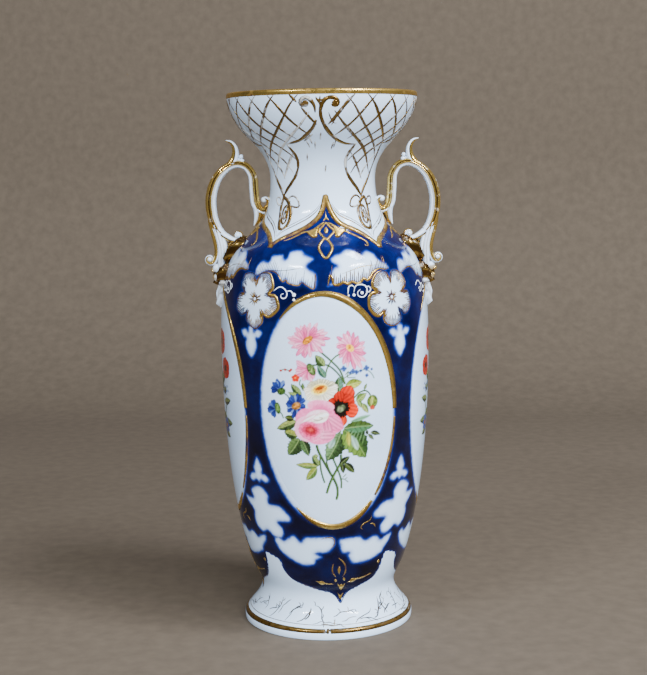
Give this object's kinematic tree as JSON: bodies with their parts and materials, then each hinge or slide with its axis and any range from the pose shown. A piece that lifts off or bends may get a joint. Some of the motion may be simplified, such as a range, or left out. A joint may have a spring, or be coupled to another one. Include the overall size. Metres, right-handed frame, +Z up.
{
  "type": "flower vase",
  "caption": "Tall porcelain flower vase with a flaring mouth, narrow waist, barrel body, spreading foot and two scrolled ear handles.",
  "frame": {"origin": "centre of the foot's resting plane, on the vase's axis", "axes": "+Z up along the vase's axis, +X through the right-hand handle as the painted front is seen, -Y out of the painted front"},
  "size_m": [0.169, 0.1492, 0.38],
  "materials": {
    "glazed_porcelain": "clear gloss glaze",
    "cobalt_ground": "gloss, underglaze cobalt blue with reserved white leaves and flowers",
    "marbled_porcelain": "gloss, fine brown painted veins",
    "worn_gilding": "burnished gilding over glaze, worn to brown and white",
    "enamel": "semi-gloss overglaze enamel flowers"
  },
  "bodies": {
    "root": {"foot": "marbled_porcelain", "body": "cobalt_ground", "neck": "glazed_porcelain", "left_loop": "worn_gilding", "left_horn": "worn_gilding", "left_berries": "glazed_porcelain", "left_knot": "worn_gilding", "left_inner_scroll": "glazed_porcelain", "left_outer_scroll": "worn_gilding", "left_stem": "glazed_porcelain", "left_leaf_boss": "worn_gilding", "left_sprig": "worn_gilding", "left_pendant": "glazed_porcelain", "right_loop": "worn_gilding", "right_horn": "worn_gilding", "right_berries": "glazed_porcelain", "right_knot": "worn_gilding", "right_inner_scroll": "glazed_porcelain", "right_outer_scroll": "worn_gilding", "right_stem": "glazed_porcelain", "right_leaf_boss": "worn_gilding", "right_sprig": "worn_gilding", "right_pendant": "glazed_porcelain"}
  },
  "joints": []
}
